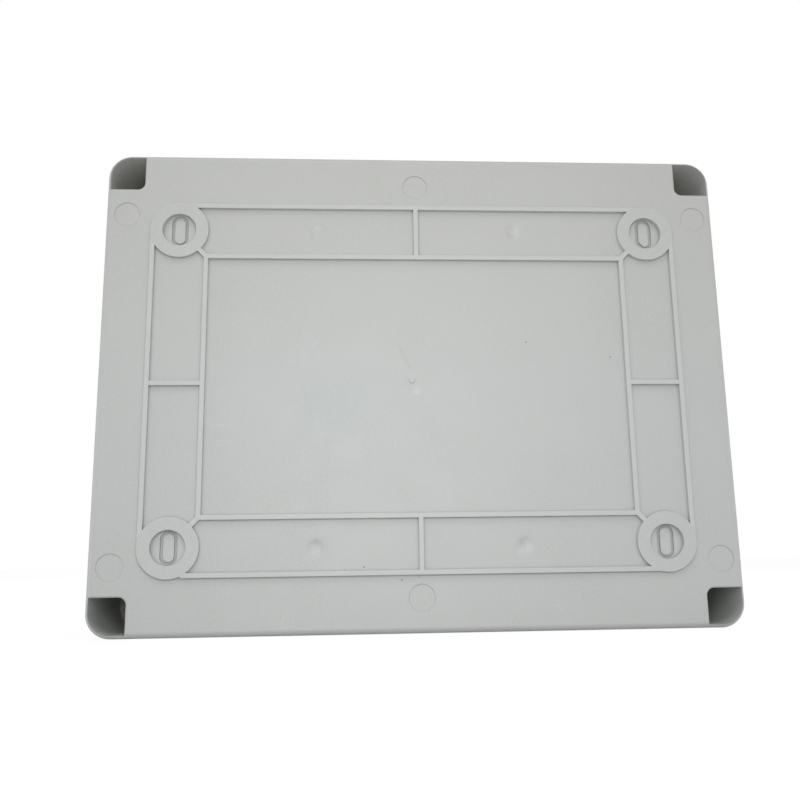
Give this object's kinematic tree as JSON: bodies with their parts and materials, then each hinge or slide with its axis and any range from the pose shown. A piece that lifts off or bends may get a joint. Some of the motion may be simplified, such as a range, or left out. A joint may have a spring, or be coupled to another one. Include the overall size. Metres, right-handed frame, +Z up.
{
  "type": "electrical distribution box",
  "caption": "Surface-mounted weatherproof distribution box for one row of DIN modules, with ribbed back, lift-off cover, smoked flap door, quarter-turn screws and switch levers.",
  "frame": {"origin": "middle of the lowest face, half way between the tops of the rear ribs and the latch knob", "axes": "+X to the right seen from the door, -Y towards the door, +Y towards the wall, +Z up"},
  "size_m": [0.394, 0.13, 0.302],
  "materials": {
    "shell": "fine satin texture, light grey ABS",
    "dark_plastic": "dark grey moulded plastic",
    "smoked_clear": "smoked clear polycarbonate, glossy",
    "rubber_seal": "foamed seal, matt",
    "zinc_steel": "bright zinc plate",
    "module_plastic": "fine satin texture, pale grey",
    "lever_plastic": "dark blue moulded plastic",
    "copper": "bare copper",
    "brass_bar": "drawn brass",
    "neutral_blue": "blue moulded plastic",
    "earth_green": "green moulded plastic"
  },
  "bodies": {
    "base": {"base_shell": "shell", "fixing_caps": "dark_plastic", "end_stops": "dark_plastic", "comb_insulator": "dark_plastic", "neutral_bar_saddles": "neutral_blue", "earth_bar_saddles": "earth_green", "rail_upright_left": "zinc_steel", "rail_upright_right": "zinc_steel", "din_rail": "zinc_steel", "frame_screws": "zinc_steel", "rail_bolts": "zinc_steel", "rail_nuts": "zinc_steel", "terminal_screws": "zinc_steel", "bar_screws": "zinc_steel", "main_switch_body": "module_plastic", "comb_busbar": "copper", "neutral_bar": "brass_bar", "earth_bar": "brass_bar", "breaker_1_body": "module_plastic", "breaker_2_body": "module_plastic", "breaker_3_body": "module_plastic", "breaker_4_body": "module_plastic", "breaker_5_body": "module_plastic", "breaker_6_body": "module_plastic"},
    "cover": {"cover_frame": "shell", "blanking_strip": "shell", "hinge_pins": "zinc_steel", "cover_gasket": "rubber_seal"},
    "door": {"door": "smoked_clear"},
    "latch": {"door_latch": "dark_plastic"},
    "main_lever": {"main_switch_lever": "lever_plastic"},
    "test_button": {"main_switch_test_button": "lever_plastic"},
    "screw_low_left": {"cover_screw_low_left": "dark_plastic"},
    "screw_high_left": {"cover_screw_high_left": "dark_plastic"},
    "screw_low_right": {"cover_screw_low_right": "dark_plastic"},
    "screw_high_right": {"cover_screw_high_right": "dark_plastic"},
    "lever_1": {"breaker_1_lever": "lever_plastic"},
    "lever_2": {"breaker_2_lever": "lever_plastic"},
    "lever_3": {"breaker_3_lever": "lever_plastic"},
    "lever_4": {"breaker_4_lever": "lever_plastic"},
    "lever_5": {"breaker_5_lever": "lever_plastic"},
    "lever_6": {"breaker_6_lever": "lever_plastic"}
  },
  "joints": [
    {"name": "cover_lift", "type": "slide", "parent": "base", "child": "cover", "axis": [0, -1, 0], "range_m": [0, 0.12]},
    {"name": "door_swing", "type": "hinge", "parent": "cover", "child": "door", "pos_m": [0, -0.059, 0.213], "axis": [-1, 0, 0], "range_deg": [0, 115]},
    {"name": "latch_turn", "type": "hinge", "parent": "door", "child": "latch", "pos_m": [0, -0.063, 0.107], "axis": [0, 1, 0], "range_deg": [0, 90]},
    {"name": "screw_low_left_turn", "type": "hinge", "parent": "cover", "child": "screw_low_left", "pos_m": [-0.18413, -0.059, 0.01285], "axis": [0, 1, 0], "range_deg": [0, 90]},
    {"name": "screw_high_left_turn", "type": "hinge", "parent": "cover", "child": "screw_high_left", "pos_m": [-0.18413, -0.059, 0.28915], "axis": [0, 1, 0], "range_deg": [0, 90]},
    {"name": "screw_low_right_turn", "type": "hinge", "parent": "cover", "child": "screw_low_right", "pos_m": [0.18413, -0.059, 0.01285], "axis": [0, 1, 0], "range_deg": [0, 90]},
    {"name": "screw_high_right_turn", "type": "hinge", "parent": "cover", "child": "screw_high_right", "pos_m": [0.18413, -0.059, 0.28915], "axis": [0, 1, 0], "range_deg": [0, 90]},
    {"name": "main_switch", "type": "hinge", "parent": "base", "child": "main_lever", "pos_m": [-0.1134, -0.042, 0.151], "axis": [1, 0, 0], "range_deg": [0, 90]},
    {"name": "test_press", "type": "slide", "parent": "base", "child": "test_button", "axis": [0, 1, 0], "range_m": [0, 0.0018], "stiffness_N_per_m": 300},
    {"name": "breaker_1_switch", "type": "hinge", "parent": "base", "child": "lever_1", "pos_m": [-0.07, -0.042, 0.151], "axis": [1, 0, 0], "range_deg": [0, 90]},
    {"name": "breaker_2_switch", "type": "hinge", "parent": "base", "child": "lever_2", "pos_m": [-0.035, -0.042, 0.151], "axis": [1, 0, 0], "range_deg": [0, 90]},
    {"name": "breaker_3_switch", "type": "hinge", "parent": "base", "child": "lever_3", "pos_m": [0, -0.042, 0.151], "axis": [1, 0, 0], "range_deg": [0, 90]},
    {"name": "breaker_4_switch", "type": "hinge", "parent": "base", "child": "lever_4", "pos_m": [0.035, -0.042, 0.151], "axis": [1, 0, 0], "range_deg": [0, 90]},
    {"name": "breaker_5_switch", "type": "hinge", "parent": "base", "child": "lever_5", "pos_m": [0.07, -0.042, 0.151], "axis": [1, 0, 0], "range_deg": [0, 90]},
    {"name": "breaker_6_switch", "type": "hinge", "parent": "base", "child": "lever_6", "pos_m": [0.105, -0.042, 0.151], "axis": [1, 0, 0], "range_deg": [0, 90]}
  ]
}
